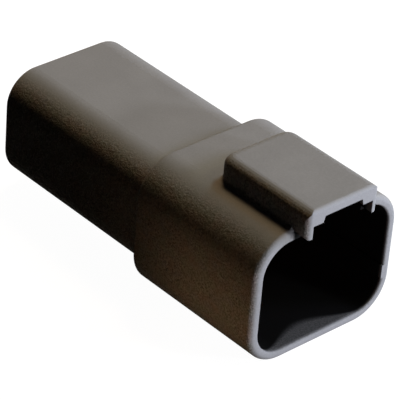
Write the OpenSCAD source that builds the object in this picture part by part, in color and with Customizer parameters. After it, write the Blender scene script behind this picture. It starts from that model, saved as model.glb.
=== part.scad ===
// Sealed four-way connector receptacle: a moulded housing with a latch hood, a wire seal,
// a wedge lock and four turned pin contacts. +X is the mating direction and the hood is on top.

/* [Housing] */
// Length from the rear end to the mating rim
body_len = 46.25; // [45:0.25:49]
// Length of the slimmer rear body
rear_len = 25.95; // [25:0.05:28]
// Width of the rear body
rear_w = 18.6; // [18:0.1:19.4]
// Height of the rear body
rear_h = 14.3; // [13.9:0.1:14.9]
// Corner radius of the rear body
rear_r = 4.2; // [3.4:0.1:4.8]
// How far the rear body sits below the middle of the shroud
rear_drop = 0.35; // [0:0.05:0.6]
// Width of the mating shroud
shroud_w = 21.7; // [21:0.1:23]
// Height of the mating shroud
shroud_h = 17.1; // [16.6:0.1:18.4]
// Corner radius of the shroud
shroud_r = 5; // [4:0.1:5.4]
// Wall thickness of the shroud and of the seal pocket
wall = 1.2; // [1:0.05:1.4]
// Rounding of the outer end edges
edge_r = 0.5; // [0.3:0.05:0.6]
// Rounding of the rim's outer edge
rim_r = 0.7; // [0.5:0.05:0.8]
// Rounding of the mouth's inner edge
mouth_r = 0.25; // [0.15:0.05:0.35]
// Depth of the seal pocket in the rear end
pocket_d = 9.6; // [8.8:0.1:10]

/* [Latch hood] */
// Width of the hood
hood_w = 10.75; // [10:0.05:11.4]
// Height of the hood's top above the shroud
hood_h = 3.15; // [2.8:0.05:3.8]
// Length of the hood
hood_len = 14.8; // [12:0.1:16]
// How far the hood stands out past the rim
hood_over = 1.7; // [1.5:0.1:2.5]
// Thickness of the hood's side walls
hood_side = 0.85; // [0.7:0.05:1.2]
// Thickness of the hood's roof
hood_roof = 1.2; // [1:0.05:1.6]
// Corner radius of the hood's back, in plan
hood_back_r = 1.7; // [1.4:0.1:2.2]
// Rounding of the hood's top edges
hood_top_r = 1.2; // [0.7:0.1:1.4]
// Fillet where the hood meets the shroud
hood_foot_r = 0.4; // [0.2:0.05:0.45]
// Rounding of the hood's lower corners in front of the rim
hood_toe_r = 0.45; // [0.3:0.05:0.6]
// Rounding of the hood's front side edges
hood_nose_r = 0.65; // [0.4:0.05:0.8]
// Width of each catch block under the roof
catch_w = 1.7; // [1.4:0.1:2.2]
// Height of each catch block
catch_h = 0.8; // [0.7:0.05:1.1]
// Length of each catch block
catch_len = 3; // [2:0.1:4]

/* [Key rib] */
// Width of the key rib inside the shroud
key_w = 1.8; // [1.4:0.1:2.4]
// Height of the key rib above the inner wall
key_h = 0.2; // [0.15:0.05:0.5]
// How far the key rib sits below the middle of the shroud
key_drop = 3; // [2.4:0.1:3.4]

/* [Contacts] */
// Spacing of the contacts across the width
pitch_y = 6.8; // [6.5:0.1:7]
// Spacing of the contacts over the height
pitch_z = 6.2; // [6:0.1:6.4]
// Diameter of the mating pin
pin_d = 1.57; // [1.5:0.01:1.6]
// Length of the mating pin with its nose
pin_len = 5.8; // [5:0.1:6.6]
// Diameter of the crimp barrel
barrel_d = 2.6; // [2.4:0.05:2.7]
// Diameter of the wire hole in the crimp barrel
barrel_bore_d = 1.55; // [1.4:0.05:1.8]
// Length of the crimp barrel
barrel_len = 7; // [6:0.1:7.4]

/* [Wedge lock and fingers] */
// Depth of the finger pocket behind the cavity floor
finger_pocket_d = 4.5; // [4.4:0.1:4.9]
// Thickness of each locking finger
finger_t = 0.65; // [0.5:0.05:0.75]
// Width of each locking finger
finger_w = 2; // [1.6:0.1:2.2]
// Thickness of the wedge lock's plate
plate_t = 1.8; // [1.6:0.1:2]
// Thickness of the wedge lock's side posts
post_t = 0.9; // [0.7:0.05:1.1]

/* [Wire seal] */
// How far the seal's rear face sits inside the housing
seal_recess = 0.6; // [0.5:0.05:0.9]
// Diameter of the sealing lips in each wire hole
lip_d = 1.9; // [1.7:0.05:2]
// Diameter of the wire hole between its lips
groove_d = 2.7; // [2.5:0.05:2.9]
// Number of sealing lips in each wire hole
lips = 3; // [2:1:3]

/* [Hidden] */
$fn = 64;
housing_grey = "#8f8d8a";
seal_orange = "#c4502a";
lock_orange = "#d9661f";
contact_nickel = "#c9c4b8";

// Clearances, each one on a side
contact_clear = 0.1;
seal_clear = 0.03;
lock_clear = 0.08;
nib_clear = 0.07;
plate_clear = 0.18;

// Joined shapes overlap a little, and cuts run out past the surface
overlap = 0.01;
past = 1;

// Distances along X are measured from the rear end, heights from the middle of the shroud
x_rear = -(body_len + hood_over) / 2;
axis_z = shroud_h / 2;
floor_x = rear_len + wall;
finger_x = floor_x - finger_pocket_d;
hood_front_x = body_len + hood_over;
hood_back_x = hood_front_x - hood_len;
hood_top_z = shroud_h / 2 + hood_h;
roof_z = hood_top_z - hood_roof;
catch_z = roof_z - catch_h;
catch_slant = catch_h / 4;
channel_half = hood_w / 2 - hood_side;
strip_z = shroud_h / 2 - 0.7 * wall;
toe_z = shroud_h / 2 - 0.4 * wall;

// Contact sections, measured from the front face of the stop collar
barrel_r = barrel_d / 2;
stop_step = 0.28;
stop_r = barrel_r + stop_step;
stop_len = 1.1;
waist_step = 0.15;
waist_r = barrel_r - waist_step;
waist_len = 1.2;
neck_r = 1;
lock_r = 1.25;
lock_len = 0.9;
lock_from = 4.3;
lock_to = lock_from + lock_len;
pin_r = pin_d / 2;
base_step = 0.2;
base_r = pin_r + base_step;
base_len = 2.95;
base_to = lock_to + base_len;
pin_to = base_to + pin_len;
nose_r = 0.55;
chamfer = 0.12;
barrel_rear = -stop_len - waist_len - barrel_len;
barrel_floor = 1;
barrel_bore_depth = barrel_len - barrel_floor;
sight_hole_d = 0.8;

// The stop collar rests on a step in its bore
seat_len = 1.7;
seat_x = finger_x - seat_len;
stop_bore_r = stop_r + contact_clear;
neck_bore_r = lock_r + contact_clear;
nib_r = neck_r + nib_clear;
nib_len = 0.9;
nib_gap = 0.1;
finger_len = lock_from - nib_gap - seat_len;
finger_top = pitch_z / 2 - neck_bore_r;

// The wedge lock's spine fills the gap between the rows of fingers
spine_half = finger_top - finger_t - lock_clear;
spine_gap = 0.3;
spine_len = finger_pocket_d - spine_gap;
post_gap = 0.5;
post_in = pitch_y / 2 + lock_r + post_gap;
pocket_gap = 0.55;
finger_pocket_w = 2 * (post_in + post_t + lock_clear);
finger_pocket_h = pitch_z + 2 * (lock_r + pocket_gap);
finger_pocket_r = 1.2;
post_h = finger_pocket_h - 2 * finger_pocket_r;
plate_margin = 0.9;
plate_w = finger_pocket_w + 2 * plate_margin;
plate_h = finger_pocket_h + 2 * plate_margin;
plate_r = finger_pocket_r + plate_margin;
plate_hole_r = base_r + plate_clear;
slot_w = 2.4;
slot_h = 0.9;
slot_z = spine_half + slot_h / 2 + lock_clear;

// The seal fills the pocket and its rear collars stand round the wire holes
seal_len = pocket_d - seal_recess;
seal_w = rear_w - 2 * (wall + seal_clear);
seal_h = rear_h - 2 * (wall + seal_clear);
seal_r = rear_r - wall - seal_clear;
ribs = 3;
rib_h = 0.3;
rib_pitch = seal_len / (ribs + 1);
rib_foot = rib_pitch / 4;
rib_crest = rib_pitch / 12;
collar_r = 2.1;
collar_h = 0.4;
lip_len = 0.8;
lip_pitch = 2.6;
lip_ramp = 0.35;
lip_inset = 1.2;
first_lip = seal_recess + lip_inset;
arc_steps = 6;

contact_spots = [
    for (row = [1, -1])
        for (side = [-1, 1])
            [side * pitch_y / 2, row * pitch_z / 2 - rear_drop]
];

// Points of an arc, by centre, radius and the angles at its ends
function arc(centre, r, from, to) = [
    for (i = [0:arc_steps])
        let (a = from + (to - from) * i / arc_steps)
            [centre[0] + r * cos(a), centre[1] + r * sin(a)]
];

// Outline of a bar from one end to the other as [distance, offset], with rounded end edges
function bar_outline(from, to, from_r, to_r) = concat(
    arc([from + from_r, -from_r], from_r, 180, 90),
    arc([to - to_r, -to_r], to_r, 90, 0)
);

// Swaps a point's two values
function flipped(points) = [for (p = points) [p[1], p[0]]];

// Closes an outline down to its middle line, at half the bar's size
function closed_half(outline, half) = concat(
    [[outline[0][0], 0]],
    [for (p = outline) [p[0], p[1] + half]],
    [[outline[len(outline) - 1][0], 0]]
);

// Closes an outline against its own mirror image
function closed_full(outline, half) = concat(
    [for (p = outline) [p[0], p[1] + half]],
    [for (i = [len(outline) - 1:-1:0]) [outline[i][0], -outline[i][1] - half]]
);

// Turns a profile of [distance, radius] points about the X axis
module turned(points, angle = 360) {
    rotate([0, 90, 0])
        rotate_extrude(angle = angle)
            polygon(flipped(points));
}

// A round bar about the X axis between two distances
module turned_bar(from, to, r) {
    turned([[from, 0], [from, r], [to, r], [to, 0]]);
}

// A bar along X with a rounded rectangle for its section, whose skin follows the outline
module bar(outline, w, h, r) {
    for (quarter = [0:3]) {
        side_y = (quarter < 2) ? 1 : -1;
        side_z = (quarter == 1 || quarter == 2) ? 1 : -1;
        translate([0, side_y * (w / 2 - r), side_z * (h / 2 - r)])
            rotate([90 * quarter, 0, 0])
                turned(closed_half(outline, r), 90);
    }
    rotate([90, 0, 0])
        linear_extrude(w - 2 * r, center = true)
            polygon(closed_full(outline, h / 2));
    linear_extrude(h - 2 * r, center = true)
        polygon(closed_full(outline, w / 2));
}

// A plain bar between two distances
module plain_bar(from, to, w, h, r) {
    bar([[from, 0], [to, 0]], w, h, r);
}

// Puts its children in place: the rear end at the back, the shroud's underside at zero height
module placed() {
    translate([x_rear, 0, axis_z])
        children();
}

// Puts its children on the middle line of the rear body
module on_rear_line() {
    translate([0, 0, -rear_drop])
        children();
}

// Puts its children on the axis of every contact
module at_contacts() {
    for (spot = contact_spots)
        translate([0, spot[0], spot[1]])
            children();
}

// Stands a Z bar up from an X bar: distances run upwards, the width lies along X
module upright() {
    rotate([0, -90, 0])
        children();
}

// The hood's outer block with its foot fillet, a rounded back and a flat front
module hood_block() {
    long = hood_len + 2 * hood_back_r;
    mid_x = hood_back_x + long / 2;
    foot = arc([shroud_h / 2 + hood_foot_r, hood_foot_r], hood_foot_r, 180, 270);
    top = arc([hood_top_z - hood_top_r, -hood_top_r], hood_top_r, 90, 0);
    intersection() {
        translate([mid_x, 0, 0])
            upright()
                bar(concat([[strip_z, 0]], top), hood_w, long, hood_back_r);
        hood_front_trim();
    }
    intersection() {
        translate([mid_x, 0, 0])
            upright()
                bar(concat([[strip_z, hood_foot_r]], foot), hood_w, long, hood_back_r);
        translate([hood_back_x - hood_back_r, -hood_w, strip_z])
            cube([body_len - rim_r - hood_back_x + hood_back_r, 2 * hood_w, hood_h]);
    }
}

// The hood's side view, with its front top edge rounded
module hood_front_trim() {
    low = strip_z - past;
    high = hood_top_z + past;
    rotate([90, 0, 0])
        linear_extrude(2 * hood_w, center = true)
            polygon(concat(
                [[hood_back_x - past, low], [hood_back_x - past, high]],
                [[hood_front_x - edge_r, high]],
                arc([hood_front_x - edge_r, hood_top_z - edge_r], edge_r, 90, 0),
                [[hood_front_x, low]]
            ));
}

// The space under the hood, open to the shroud's cavity
module hood_channel() {
    from_x = hood_back_x + hood_side;
    translate([from_x, -channel_half, 0])
        cube([hood_front_x - from_x + past, 2 * channel_half, roof_z]);
}

// Ends the hood's side walls in front of the rim, with their lower outer corners round
module hood_toe_cuts() {
    for (side = [0, 1])
        mirror([0, side, 0])
            translate([body_len, hood_w / 2 - hood_toe_r, toe_z + hood_toe_r])
                rotate([90, 0, 90])
                    linear_extrude(hood_over + past) {
                        translate([-hood_side, -hood_toe_r - past])
                            square([hood_side + hood_toe_r + past, past]);
                        difference() {
                            translate([0, -hood_toe_r - past])
                                square([hood_toe_r + past, hood_toe_r + past]);
                            circle(hood_toe_r);
                        }
                    }
}

// Rounds the two upright side edges of the hood's front
module hood_nose_cuts() {
    for (side = [0, 1])
        mirror([0, side, 0])
            translate([hood_front_x - hood_nose_r, hood_w / 2 - hood_nose_r, strip_z - past])
                linear_extrude(hood_h + wall + 2 * past)
                    difference() {
                        square(hood_nose_r + past);
                        circle(hood_nose_r);
                    }
}

// The two blocks under the roof that the mating latch snaps behind
module catch_blocks() {
    for (side = [0, 1])
        mirror([0, side, 0])
            translate([hood_front_x - catch_len, 0, 0])
                rotate([90, 0, 90])
                    linear_extrude(catch_len)
                        polygon([
                            [channel_half + overlap, catch_z],
                            [channel_half - catch_w + catch_slant, catch_z],
                            [channel_half - catch_w, roof_z + overlap],
                            [channel_half + overlap, roof_z + overlap]
                        ]);
}

// The cavity that takes the mating plug, with a rounded mouth
module cavity() {
    mouth = arc([body_len - mouth_r, mouth_r], mouth_r, 270, 360);
    bar(
        concat([[floor_x, 0]], mouth, [[body_len + past, mouth_r]]),
        shroud_w - 2 * wall, shroud_h - 2 * wall, shroud_r - wall
    );
}

// The small polarising rib on the shroud's inner wall, from the floor to the rim
module key_rib() {
    inner_y = shroud_w / 2 - wall;
    translate([floor_x - overlap, inner_y - key_h, -key_drop - key_w / 2])
        cube([body_len - floor_x + overlap, key_h + wall / 2, key_w]);
}

// One contact's stepped bore through the block
module contact_bore() {
    turned_bar(pocket_d - overlap, seat_x, stop_bore_r);
    turned_bar(seat_x - overlap, finger_x + overlap, neck_bore_r);
}

// One locking finger with its nib, for a contact above the middle line
module finger() {
    nib_top = pitch_z / 2 - nib_r;
    translate([finger_x - overlap, -finger_w / 2, finger_top - finger_t])
        cube([finger_len + overlap, finger_w, finger_t]);
    translate([finger_x + finger_len - nib_len, -finger_w / 2, finger_top - overlap])
        cube([nib_len, finger_w, nib_top - finger_top + overlap]);
}

module all_fingers() {
    for (row = [0, 1])
        mirror([0, 0, row])
            for (side = [-1, 1])
                translate([0, side * pitch_y / 2, 0])
                    finger();
}

module shell() {
    on_rear_line()
        bar(bar_outline(0, rear_len + wall / 2, edge_r, edge_r / 2), rear_w, rear_h, rear_r);
    bar(bar_outline(rear_len, body_len, edge_r, rim_r), shroud_w, shroud_h, shroud_r);
    hood_block();
}

module housing() {
    color(housing_grey)
        placed() {
            difference() {
                shell();
                cavity();
                hood_channel();
                hood_toe_cuts();
                hood_nose_cuts();
                on_rear_line() {
                    plain_bar(-past, pocket_d, rear_w - 2 * wall, rear_h - 2 * wall, rear_r - wall);
                    plain_bar(finger_x, floor_x + past, finger_pocket_w, finger_pocket_h, finger_pocket_r);
                }
                at_contacts()
                    contact_bore();
            }
            catch_blocks();
            key_rib();
            on_rear_line()
                all_fingers();
        }
}

// One wire hole with its sealing lips, open at both ends
module wire_hole() {
    lip_r = lip_d / 2;
    groove_r = groove_d / 2;
    lip_points = [
        for (i = [0:lips - 1])
            let (from = first_lip + i * lip_pitch)
                each [
                    [from - lip_ramp, groove_r],
                    [from, lip_r],
                    [from + lip_len, lip_r],
                    [from + lip_len + lip_ramp, groove_r]
                ]
    ];
    turned(concat(
        [[-past, 0], [-past, groove_r]],
        lip_points,
        [[pocket_d + past, groove_r], [pocket_d + past, 0]]
    ));
}

// The seal's skin from its rear face to its front face, with the outer ribs
function seal_outline() = concat(
    [[seal_recess, -rib_h]],
    [
        for (i = [1:ribs])
            let (middle = seal_recess + rib_pitch * i)
                each [
                    [middle - rib_foot, -rib_h],
                    [middle - rib_crest, 0],
                    [middle + rib_crest, 0],
                    [middle + rib_foot, -rib_h]
                ]
    ],
    [[pocket_d, -rib_h]]
);

// The collar round one wire hole, with a chamfered rear edge
module collar() {
    slope = collar_h / 2;
    from = seal_recess - collar_h;
    to = seal_recess + overlap;
    turned([[from, 0], [from, collar_r - slope], [from + slope, collar_r], [to, collar_r], [to, 0]]);
}

module wire_seal() {
    color(seal_orange)
        placed()
            difference() {
                union() {
                    on_rear_line()
                        bar(seal_outline(), seal_w, seal_h, seal_r);
                    at_contacts()
                        collar();
                }
                at_contacts()
                    wire_hole();
            }
}

// The spine between the rows of fingers and the posts beside the contacts
module lock_legs() {
    from_x = floor_x - spine_len;
    translate([from_x, -post_in, -spine_half])
        cube([spine_len + overlap, 2 * post_in, 2 * spine_half]);
    for (side = [0, 1])
        mirror([0, side, 0])
            translate([from_x, post_in - overlap, -post_h / 2])
                cube([spine_len + overlap, post_t + overlap, post_h]);
}

module wedge_lock() {
    front_x = floor_x + plate_t;
    color(lock_orange)
        placed()
            difference() {
                on_rear_line() {
                    bar(bar_outline(floor_x, front_x, edge_r / 4, edge_r), plate_w, plate_h, plate_r);
                    lock_legs();
                }
                at_contacts()
                    turned_bar(floor_x - overlap, front_x + past, plate_hole_r);
                on_rear_line()
                    for (row = [-1, 1])
                        translate([floor_x + plate_t / 2, 0, row * slot_z])
                            cube([2 * plate_t, slot_w, slot_h], center = true);
            }
}

// A turned pin contact, whose stop collar rests on the step of its bore
module contact(number) {
    spot = contact_spots[number - 1];
    waist_from = -stop_len - waist_len;
    bore_end = barrel_rear + barrel_bore_depth;
    color(contact_nickel)
        placed()
            translate([seat_x, spot[0], spot[1]])
                difference() {
                    turned(concat(
                        [[barrel_rear, 0], [barrel_rear, barrel_r - chamfer]],
                        [[barrel_rear + chamfer, barrel_r], [waist_from, barrel_r]],
                        [[waist_from + chamfer, waist_r], [-stop_len, waist_r]],
                        [[-stop_len, stop_r - chamfer], [chamfer - stop_len, stop_r]],
                        [[0, stop_r], [0, neck_r], [lock_from, neck_r], [lock_from, lock_r]],
                        [[lock_to - chamfer, lock_r], [lock_to, lock_r - chamfer], [lock_to, base_r]],
                        [[base_to - chamfer, base_r], [base_to, pin_r]],
                        arc([pin_to - nose_r, pin_r - nose_r], nose_r, 90, 0),
                        [[pin_to, 0]]
                    ));
                    turned_bar(barrel_rear - past, bore_end, barrel_bore_d / 2);
                    translate([bore_end - sight_hole_d, 0, 0])
                        cylinder(h = 2 * barrel_r, d = sight_hole_d);
                }
}

housing();
wire_seal();
wedge_lock();
contact(1);  // contact_1
contact(2);  // contact_2
contact(3);  // contact_3
contact(4);  // contact_4
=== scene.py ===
"""Looks, light and camera for a sealed four-way connector receptacle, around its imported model."""
import math

import bpy
from mathutils import Matrix, Vector

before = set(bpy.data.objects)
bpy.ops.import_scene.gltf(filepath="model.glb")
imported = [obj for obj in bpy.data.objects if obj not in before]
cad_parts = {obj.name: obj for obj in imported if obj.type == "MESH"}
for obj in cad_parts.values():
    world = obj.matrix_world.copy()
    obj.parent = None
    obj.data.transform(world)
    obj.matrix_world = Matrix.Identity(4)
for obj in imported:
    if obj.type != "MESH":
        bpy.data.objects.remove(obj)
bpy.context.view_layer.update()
scene = bpy.context.scene
MM = 0.001
WHITE = (1, 1, 1, 1)

# The camera, in millimetres and degrees, from the photograph's outline
AZIMUTH, ELEVATION, ROLL = 44.052, 33.277, 4.850
DISTANCE = 311.71
LOOK_AT = Vector((-0.85, 0.0, 8.55))
ASIDE = (1.326, -1.631)
FOCAL_PX, FRAME_PX, SENSOR = 2661.35, 400, 36.0
NEAR, FAR = 10.0, 20000.0


def make_camera():
    az, el, roll = (math.radians(a) for a in (AZIMUTH, ELEVATION, ROLL))
    back = Vector((math.cos(el) * math.cos(az), -math.cos(el) * math.sin(az), math.sin(el)))
    side = Vector((0, 0, 1)).cross(back).normalized()
    up = back.cross(side)
    right = math.cos(roll) * side + math.sin(roll) * up
    top = math.cos(roll) * up - math.sin(roll) * side
    spot = LOOK_AT + right * ASIDE[0] + top * ASIDE[1] + back * DISTANCE
    data = bpy.data.cameras.new("camera")
    data.sensor_width = SENSOR
    data.lens = FOCAL_PX / FRAME_PX * SENSOR
    data.clip_start, data.clip_end = NEAR * MM, FAR * MM
    camera = bpy.data.objects.new("camera", data)
    scene.collection.objects.link(camera)
    turn = Matrix((right, top, back)).transposed().to_4x4()
    camera.matrix_world = Matrix.Translation(spot * MM) @ turn
    scene.camera = camera


class Nodes:
    """A material's or world's node tree, with short calls to add and join nodes."""

    def __init__(self, owner):
        owner.use_nodes = True
        self.tree = owner.node_tree
        self.tree.nodes.clear()

    def put(self, socket, value):
        """Joins a socket to another one, or sets it to a value."""
        if isinstance(value, bpy.types.NodeSocket):
            self.tree.links.new(value, socket)
        else:
            socket.default_value = value

    def add(self, kind, inputs=None, **settings):
        made = self.tree.nodes.new("ShaderNode" + kind)
        for name, value in settings.items():
            setattr(made, name, value)
        for name, value in (inputs or {}).items():
            self.put(made.inputs[name], value)
        return made

    def math(self, operation, *values):
        return self.add("Math", dict(enumerate(values)), operation=operation).outputs[0]

    def both(self, *masks):
        """1 where all of the masks are."""
        product = masks[0]
        for mask in masks[1:]:
            product = self.math("MULTIPLY", product, mask)
        return product

    def over(self, value, low_mm):
        return self.math("GREATER_THAN", value, low_mm * MM)

    def under(self, value, high_mm):
        return self.math("LESS_THAN", value, high_mm * MM)

    def ramp(self, value, low, high, out_low=0.0, out_high=1.0, smooth=False):
        """Maps value from low..high to out_low..out_high, held at the ends."""
        made = self.add(
            "MapRange",
            {"Value": value, "From Min": low, "From Max": high, "To Min": out_low, "To Max": out_high},
            interpolation_type="SMOOTHSTEP" if smooth else "LINEAR",
        )
        return made.outputs["Result"]

    def mix(self, factor, first, second, blend="MIX"):
        made = self.add("Mix", data_type="RGBA", blend_type=blend)
        for index, value in ((0, factor), (6, first), (7, second)):
            self.put(made.inputs[index], value)
        return made.outputs[2]

    def noise(self, where, size_mm, detail, roughness):
        """Noise with features of about this size."""
        made = self.add("TexNoise", {
            "Vector": where, "Scale": 1 / (size_mm * MM), "Detail": detail, "Roughness": roughness,
        })
        return made.outputs["Fac"]

    def edges(self, radius_mm, low, high):
        """The rounded normal at sharp edges, and a mask that is 1 along them."""
        round_normal = self.add("Bevel", {"Radius": radius_mm * MM}, samples=6).outputs["Normal"]
        flat_normal = self.add("NewGeometry").outputs["Normal"]
        alike = self.add("VectorMath", {0: round_normal, 1: flat_normal}, operation="DOT_PRODUCT")
        return round_normal, self.ramp(alike.outputs["Value"], high, low)

    def axes(self, vector):
        return tuple(self.add("SeparateXYZ", {0: vector}).outputs)

    def finish(self, shader):
        self.add("OutputMaterial", {"Surface": shader})


def tint(color, factor):
    return tuple(min(1.0, c * factor) for c in color[:3]) + (1.0,)


# Inside of the shroud, where shade is painted, half way through its walls, in millimetres
CORE_HALF_Y, CORE_HALF_Z, CORE_MID_Z, CORE_R = 5.85, 3.55, 8.55, 4.4
CORE_BACK_X, CORE_FRONT_X = 2.6, 22.3

# Behind the mouth, how far the painted shade takes to be full on the floor and on the walls
FLOOR_FADE, WALL_FADE, FLOOR_TOP_Z, WALL_FOOT_Z = 3.3, 0.6, 1.3, 2.3

# The paler strip on the floor at the mouth, a painted patch of light in the painted shade: its middle and
# half length, and how dark it still is
STRIP_MID_Y, STRIP_END_Y, STRIP_SHADE = -0.9, 8.0, 0.69

# Inside of the hood's channel, where shade is painted too, half way through its walls
CHANNEL_HALF_Y, CHANNEL_TOP_Z, CHANNEL_BACK_X, CHANNEL_FRONT_X = 5.0, 19.65, 10.1, 24.0
CHANNEL_FADE = 1.4

# The painted shadow on the rim's ends behind the hood's toes
TOE_FULL_Y, TOE_END_Y, TOE_TOP_Z, TOE_BACK_X, TOE_FRONT_X = 5.4, 6.0, 16.95, 21.6, 22.4


def core_mask(n, where):
    """Masks for the space that the mating plug fills, which the photograph shows black.

    The first is 1 all through it, where shade is painted. The second is the painted shade, which fades at
    the mouth, with a paler strip of painted light on the floor there, and which covers the rim's ends at
    the toes as a painted shadow.
    """
    x, y, z = n.axes(where)
    side = n.math("ABSOLUTE", y)
    high = n.math("ABSOLUTE", n.math("SUBTRACT", z, CORE_MID_Z * MM))
    out_y = n.math("MAXIMUM", n.math("SUBTRACT", side, CORE_HALF_Y * MM), 0.0)
    out_z = n.math("MAXIMUM", n.math("SUBTRACT", high, CORE_HALF_Z * MM), 0.0)
    square = n.math("ADD", n.math("MULTIPLY", out_y, out_y), n.math("MULTIPLY", out_z, out_z))
    in_shroud = n.both(n.under(n.math("SQRT", square), CORE_R), n.over(x, CORE_BACK_X))
    above_middle = n.over(z, CORE_MID_Z)
    in_channel = n.both(n.under(side, CHANNEL_HALF_Y), n.under(z, CHANNEL_TOP_Z), above_middle,
                        n.over(x, CHANNEL_BACK_X))

    mouth, wall_full = CORE_FRONT_X * MM, (CORE_FRONT_X - WALL_FADE) * MM
    floor_full = (CORE_FRONT_X - FLOOR_FADE) * MM
    full_up = n.ramp(z, FLOOR_TOP_Z * MM, WALL_FOOT_Z * MM, floor_full, wall_full)
    # The painted patch of light on the floor at the mouth, where the painted shade is paler
    from_strip = n.math("ABSOLUTE", n.math("SUBTRACT", y, STRIP_MID_Y * MM))
    full_beside = n.ramp(from_strip, 0.0, STRIP_END_Y * MM, floor_full, wall_full, smooth=True)
    into_shroud = n.ramp(x, mouth, n.math("MAXIMUM", full_up, full_beside), smooth=True)
    into_shroud = n.math("MAXIMUM", into_shroud, n.ramp(x, mouth, wall_full, 0.0, STRIP_SHADE))
    channel_full = (CHANNEL_FRONT_X - CHANNEL_FADE) * MM
    into_channel = n.ramp(x, CHANNEL_FRONT_X * MM, channel_full, smooth=True)
    # A painted shadow of each toe on the rim's end beside it
    beside_toe = n.ramp(side, TOE_END_Y * MM, TOE_FULL_Y * MM, smooth=True)
    painted_toe_shadow = n.both(n.over(x, TOE_BACK_X), n.under(x, TOE_FRONT_X), above_middle,
                    n.under(z, TOE_TOP_Z), beside_toe)

    within = n.math("MAXIMUM", in_shroud, in_channel)
    # Painted shade: dark inside the shroud and the hood's channel, fading at the mouth
    painted_shade = n.math("MAXIMUM", n.both(in_shroud, into_shroud), n.both(in_channel, into_channel))
    return within, n.math("MAXIMUM", painted_shade, painted_toe_shadow)


# How far a face turns from the top before it counts as a side wall, as the normal's Y
SIDE_FROM, SIDE_FULL = 0.3, 0.95

# Share of the left wall's grain that the right wall has
RIGHT_GRAIN = 0.35


def side_mask(n):
    """1 on the left wall, less on the right wall, 0 on the top, underside and ends."""
    facing = n.axes(n.add("TexCoord").outputs["Normal"])[1]
    left = n.ramp(facing, -SIDE_FROM, -SIDE_FULL, smooth=True)
    right = n.ramp(facing, SIDE_FROM, SIDE_FULL, 0.0, RIGHT_GRAIN, smooth=True)
    return n.math("MAXIMUM", left, right)


# Streaks of flow in a moulding and its rubbed edges, as factors of its colour
FLOW_MM, FLOW_DARK, FLOW_PALE = 7.0, 0.96, 1.04
EDGE_MM, EDGE_PALE, EDGE_SHARE = 0.16, 1.2, 0.15

# Patches of colour on the side walls, at random, whose warm tint is partly painted light: their size, and
# factors of the plastic's own colour
CAST_MM, GREY_MM = 1.9, 1.5
BROWN_CAST, OLIVE_CAST, GREY_CAST = (1.05, 0.92, 0.84, 1), (0.95, 0.97, 0.86, 1), (0.99, 0.96, 0.95, 1)

# Strength of the specks all round and in the painted shade, and how it varies over the side walls
PLAIN_SPECK, SHADE_SPECK = 0.05, 0.45
UNEVEN_MM, SPECK_LEAST, SPECK_MOST = 2.6, 0.55, 1.25

# Height of the grain on the side walls and elsewhere, in millimetres
SIDE_RELIEF, PLAIN_RELIEF = 0.15, 0.004
GRAIN_HEIGHT, PIT_HEIGHT, PIT_GRAINS = 0.7, 0.5, 2.3

# Change of roughness with flow and grain, and in the painted shade
ROUGH_SWING, SHADE_ROUGH = 0.06, -0.15


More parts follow.
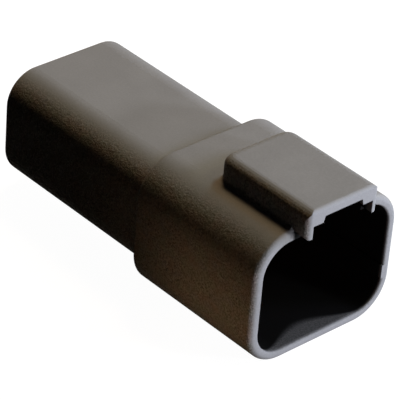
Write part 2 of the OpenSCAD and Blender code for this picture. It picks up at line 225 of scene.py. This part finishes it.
def moulded(name, color, rough, specular, grain_mm, side_speck=0.0, inside_shade=None):
    """A moulded thermoplastic: fine grain, soft mottling and paler rubbed edges.

    The side walls have a coarser grain, with brown and olive patches, whose warm tint is partly painted
    light. The last argument is the factor of the colour in the painted shade inside the shroud.
    """
    material = bpy.data.materials.new(name)
    n = Nodes(material)
    where = n.add("TexCoord").outputs["Object"]
    round_normal, edge = n.edges(EDGE_MM, low=0.75, high=0.98)
    flow = n.noise(where, FLOW_MM, detail=3.0, roughness=0.55)
    grain = n.noise(where, grain_mm, detail=3.0, roughness=0.7)
    pits = n.noise(where, grain_mm * PIT_GRAINS, detail=2.0, roughness=0.5)
    side = side_mask(n)
    if inside_shade:
        within, painted_shade = core_mask(n, where)
        side = n.both(side, n.math("SUBTRACT", 1.0, within))

    base = n.mix(n.ramp(flow, 0.35, 0.65), tint(color, FLOW_DARK), tint(color, FLOW_PALE))
    base = n.mix(n.math("MULTIPLY", edge, EDGE_SHARE), base, tint(color, EDGE_PALE))
    # Brown and olive patches on the side walls; their warm tint is partly painted light
    if side_speck:
        patches = n.noise(where, CAST_MM, detail=2.0, roughness=0.6)
        grey_patches = n.noise(where, GREY_MM, detail=2.0, roughness=0.6)
        cast = n.mix(n.ramp(patches, 0.4, 0.6), BROWN_CAST, OLIVE_CAST)
        cast = n.mix(n.ramp(grey_patches, 0.5, 0.7), cast, GREY_CAST)
        base = n.mix(side, base, n.mix(1.0, base, cast, "MULTIPLY"))
    uneven = n.noise(where, UNEVEN_MM, detail=3.0, roughness=0.6)
    uneven = n.ramp(uneven, 0.35, 0.65, SPECK_LEAST, SPECK_MOST)
    spread = n.math("MULTIPLY_ADD", n.both(side, uneven), side_speck, PLAIN_SPECK)
    if inside_shade:
        spread = n.math("MULTIPLY_ADD", painted_shade, SHADE_SPECK, spread)
    speck = n.math("MULTIPLY_ADD", n.ramp(grain, 0.34, 0.66, -1.0, 1.0), spread, 1.0)
    speck_color = n.add("CombineColor", {0: speck, 1: speck, 2: speck}).outputs[0]
    base = n.mix(1.0, base, speck_color, "MULTIPLY")
    roughness = n.ramp(n.math("ADD", flow, grain), 0.7, 1.3, rough - ROUGH_SWING, rough + ROUGH_SWING)
    if inside_shade:
        # Painted shade: the inside of the shroud and the channel darkened to nearly black
        base = n.mix(painted_shade, base, tint(color, inside_shade))
        roughness = n.math("MULTIPLY_ADD", painted_shade, SHADE_ROUGH, roughness)

    height = n.math("ADD", n.math("MULTIPLY", grain, GRAIN_HEIGHT), n.math("MULTIPLY", pits, PIT_HEIGHT))
    relief = n.math("MULTIPLY_ADD", side, SIDE_RELIEF * MM, PLAIN_RELIEF * MM)
    bump = n.add("Bump", {
        "Height": height, "Distance": relief, "Normal": round_normal, "Strength": 1.0,
    })
    shader = n.add("BsdfPrincipled", {
        "Base Color": base, "Roughness": roughness, "Normal": bump.outputs["Normal"],
        "Specular IOR Level": specular,
    })
    n.finish(shader.outputs[0])
    return material


# Silicone: clouds of colour and powder on it, and the powder's height, in millimetres
CLOUD_MM, DUST_MM, DUST_HEIGHT, DUST_SHARE = 2.5, 0.12, 0.008, 0.25
DUST_COLOR = (0.75, 0.5, 0.4, 1.0)
LIP_MM, LIP_PALE, LIP_SHARE = 0.12, 1.4, 0.3


def silicone(name, color):
    """Satin silicone rubber with a faint powder bloom."""
    material = bpy.data.materials.new(name)
    n = Nodes(material)
    where = n.add("TexCoord").outputs["Object"]
    round_normal, edge = n.edges(LIP_MM, low=0.7, high=0.98)
    cloud = n.noise(where, CLOUD_MM, detail=4.0, roughness=0.6)
    dust = n.noise(where, DUST_MM, detail=2.0, roughness=0.6)
    base = n.mix(n.ramp(cloud, 0.35, 0.7), tint(color, 0.9), tint(color, 1.1))
    base = n.mix(n.ramp(dust, 0.56, 0.75, 0.0, DUST_SHARE), base, DUST_COLOR)
    base = n.mix(n.math("MULTIPLY", edge, LIP_SHARE), base, tint(color, LIP_PALE))
    bump = n.add("Bump", {
        "Height": dust, "Distance": DUST_HEIGHT * MM, "Strength": 0.8, "Normal": round_normal,
    })
    shader = n.add("BsdfPrincipled", {
        "Base Color": base, "Roughness": n.ramp(cloud, 0.3, 0.7, 0.42, 0.58),
        "Normal": bump.outputs["Normal"], "Specular IOR Level": 0.4,
    })
    n.finish(shader.outputs[0])
    return material


# Turned metal: tool rings along the pin, their height in millimetres, and tarnish
RING_SCALE, RING_HEIGHT, RING_SHARE = 1800.0, 0.003, 0.4
STAIN_MM, STAIN_GREEN, STAIN_BLUE, STAIN_DARK = 1.4, 0.93, 0.8, 0.9


def turned_metal(name, color):
    """Nickel plating over turned metal: fine tool rings along the pin and a little tarnish."""
    material = bpy.data.materials.new(name)
    n = Nodes(material)
    where = n.add("TexCoord").outputs["Object"]
    rings = n.add("TexWave", {
        "Vector": where, "Scale": RING_SCALE, "Distortion": 1.2, "Detail": 2.0, "Detail Scale": 2.0,
    }, wave_type="BANDS", bands_direction="X").outputs["Fac"]
    stain = n.noise(where, STAIN_MM, detail=4.0, roughness=0.6)
    stained = tint((color[0], color[1] * STAIN_GREEN, color[2] * STAIN_BLUE), STAIN_DARK)
    base = n.mix(n.ramp(stain, 0.45, 0.75), color, stained)
    worn = n.math("ADD", stain, n.math("MULTIPLY", rings, RING_SHARE))
    bump = n.add("Bump", {"Height": rings, "Distance": RING_HEIGHT * MM, "Strength": 0.6})
    shader = n.add("BsdfPrincipled", {
        "Base Color": base, "Roughness": n.ramp(worn, 0.4, 1.1, 0.2, 0.38),
        "Normal": bump.outputs["Normal"], "Metallic": 1.0,
    })
    n.finish(shader.outputs[0])
    return material


def seen_directly(n):
    """1 for what the camera sees, also in gloss and through glass."""
    path = n.add("LightPath").outputs
    straight = n.math("MAXIMUM", path["Is Camera Ray"], path["Is Glossy Ray"])
    return n.math("MAXIMUM", straight, path["Is Transmission Ray"])


# The floor's half width and height in millimetres, its own light where it is seen, and what it returns
FLOOR_HALF, FLOOR_Z = 3000.0, -0.02
FLOOR_GLOW, FLOOR_SEEN, FLOOR_RETURN = 0.975, (0.12, 0.12, 0.12, 1), (0.006, 0.004, 0.003, 1)

# The light that it gives to the underside, from within the object's outline
UNDER_HALF_X, UNDER_HALF_Y, UNDER_LIGHT = 20.0, 7.0, (0.16, 0.16, 0.16, 1)


def make_floor():
    """A white floor that takes the object's shadow, seen from above only."""
    mesh = bpy.data.meshes.new("floor")
    corners = [(sx * FLOOR_HALF * MM, sy * FLOOR_HALF * MM, FLOOR_Z * MM)
               for sx, sy in ((-1, -1), (1, -1), (1, 1), (-1, 1))]
    mesh.from_pydata(corners, [], [(0, 1, 2, 3)])
    floor = bpy.data.objects.new("floor", mesh)
    scene.collection.objects.link(floor)
    material = bpy.data.materials.new("floor")
    n = Nodes(material)
    shown = n.add("AddShader", {
        0: n.add("Emission", {"Color": WHITE, "Strength": FLOOR_GLOW}).outputs[0],
        1: n.add("BsdfDiffuse", {"Color": FLOOR_SEEN}).outputs[0],
    })
    place = n.add("NewGeometry").outputs
    x, y, _ = n.axes(place["Position"])
    under = n.both(n.under(n.math("ABSOLUTE", x), UNDER_HALF_X),
                   n.under(n.math("ABSOLUTE", y), UNDER_HALF_Y))
    unseen = n.add("AddShader", {
        0: n.add("BsdfDiffuse", {"Color": FLOOR_RETURN}).outputs[0],
        1: n.add("Emission", {"Color": UNDER_LIGHT, "Strength": under}).outputs[0],
    })
    mixed = n.add("MixShader", {0: seen_directly(n), 1: unseen.outputs[0], 2: shown.outputs[0]})
    clear = n.add("BsdfTransparent")
    sided = n.add("MixShader", {0: place["Backfacing"], 1: mixed.outputs[0], 2: clear.outputs[0]})
    n.finish(sided.outputs[0])
    mesh.materials.append(material)


# The world where it is seen, and the light that it gives
WORLD_SEEN, WORLD_COLOR, WORLD_LIGHT = 1.0, (1, 0.9, 0.8, 1), 0.002


def make_world():
    world = bpy.data.worlds.new("studio")
    scene.world = world
    n = Nodes(world)
    shown = n.add("Background", {"Color": WHITE, "Strength": WORLD_SEEN})
    spread = n.add("Background", {"Color": WORLD_COLOR, "Strength": WORLD_LIGHT})
    mixed = n.add("MixShader", {0: seen_directly(n), 1: spread.outputs[0], 2: shown.outputs[0]})
    n.add("OutputWorld", {"Surface": mixed.outputs[0]})


def softbox(name, at, aim, size, energy, color):
    """A rectangular lamp at one point that faces another, in millimetres, which the camera doesn't see."""
    data = bpy.data.lights.new(name, "AREA")
    data.shape = "RECTANGLE"
    data.size, data.size_y = size[0] * MM, size[1] * MM
    data.energy = energy
    data.color = color
    lamp = bpy.data.objects.new(name, data)
    scene.collection.objects.link(lamp)
    lamp.location = Vector(at) * MM
    lamp.rotation_mode = "QUATERNION"
    lamp.rotation_quaternion = (Vector(at) - Vector(aim)).to_track_quat("Z", "Y")
    lamp.visible_camera = False


# What the lamps stand around and face, how far off they stand, and the large ones' size, in millimetres
MIDDLE, RIM_FOOT, RIM = (4.0, 0.0, 9.0), (22.0, 0.0, 3.0), (22.0, 0.0, 8.0)
LEFT_WALL, REAR_END = (18, -10.85, 7), (-24, 0, 8)
REACH, RIM_REACH, LARGE = 320, 190, (80, 80)


def around(azimuth, elevation, distance=REACH, middle=MIDDLE):
    """A point this far from the middle. Azimuth is from +X towards +Y."""
    az, el = math.radians(azimuth), math.radians(elevation)
    flat = distance * math.cos(el)
    away = (flat * math.cos(az), flat * math.sin(az), distance * math.sin(el))
    return tuple(m + a for m, a in zip(middle, away))


def make_lights():
    """Large lamps over the right side, two at the rim, and a weak card at the left wall and at the rear."""
    softbox("key", around(55, 22), MIDDLE, LARGE, 0.72, (0.66, 0.74, 1.0))
    softbox("top", around(95, 50), MIDDLE, LARGE, 0.34, (0.66, 0.90, 1.0))
    softbox("over", around(35, 50), MIDDLE, LARGE, 0.11, (1.0, 1.0, 0.7))
    softbox("rear_top", around(130, 60), MIDDLE, LARGE, 0.40, (1.0, 0.68, 0.38))
    softbox("front", around(0, 1, RIM_REACH, RIM_FOOT), RIM, (30, 5), 0.22, (0.86, 0.88, 1.0))
    softbox("front_right", around(30, 12, RIM_REACH, RIM_FOOT), RIM, (30, 8), 0.30, (0.80, 0.87, 1.0))
    softbox("card", (18, -20, 5), LEFT_WALL, (18, 5), 0.00022, (1.0, 0.62, 0.32))
    softbox("rear_card", (-70, 10, 5), REAR_END, (30, 8), 0.03, (1.0, 0.95, 0.9))


def dress_pieces():
    """Gives each of the part's pieces its material. The contacts share one."""
    contact_look = turned_metal("contact_nickel", (0.62, 0.59, 0.53, 1.0))
    looks = {
        # The housing's inside is painted in shade, at a small factor of its colour
        "housing": moulded("housing_plastic", (0.25, 0.242, 0.235), rough=0.8, specular=0.008,
                           grain_mm=0.24, side_speck=0.5, inside_shade=0.02),
        "wedge_lock": moulded("lock_plastic", (0.66, 0.17, 0.02), rough=0.48, specular=0.4, grain_mm=0.2),
        "wire_seal": silicone("seal_rubber", (0.52, 0.12, 0.04)),
    }
    for name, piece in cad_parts.items():
        piece.data.materials.clear()
        piece.data.materials.append(looks.get(name, contact_look))


make_camera()
dress_pieces()
make_floor()
make_world()
make_lights()
scene.view_settings.view_transform = "Standard"
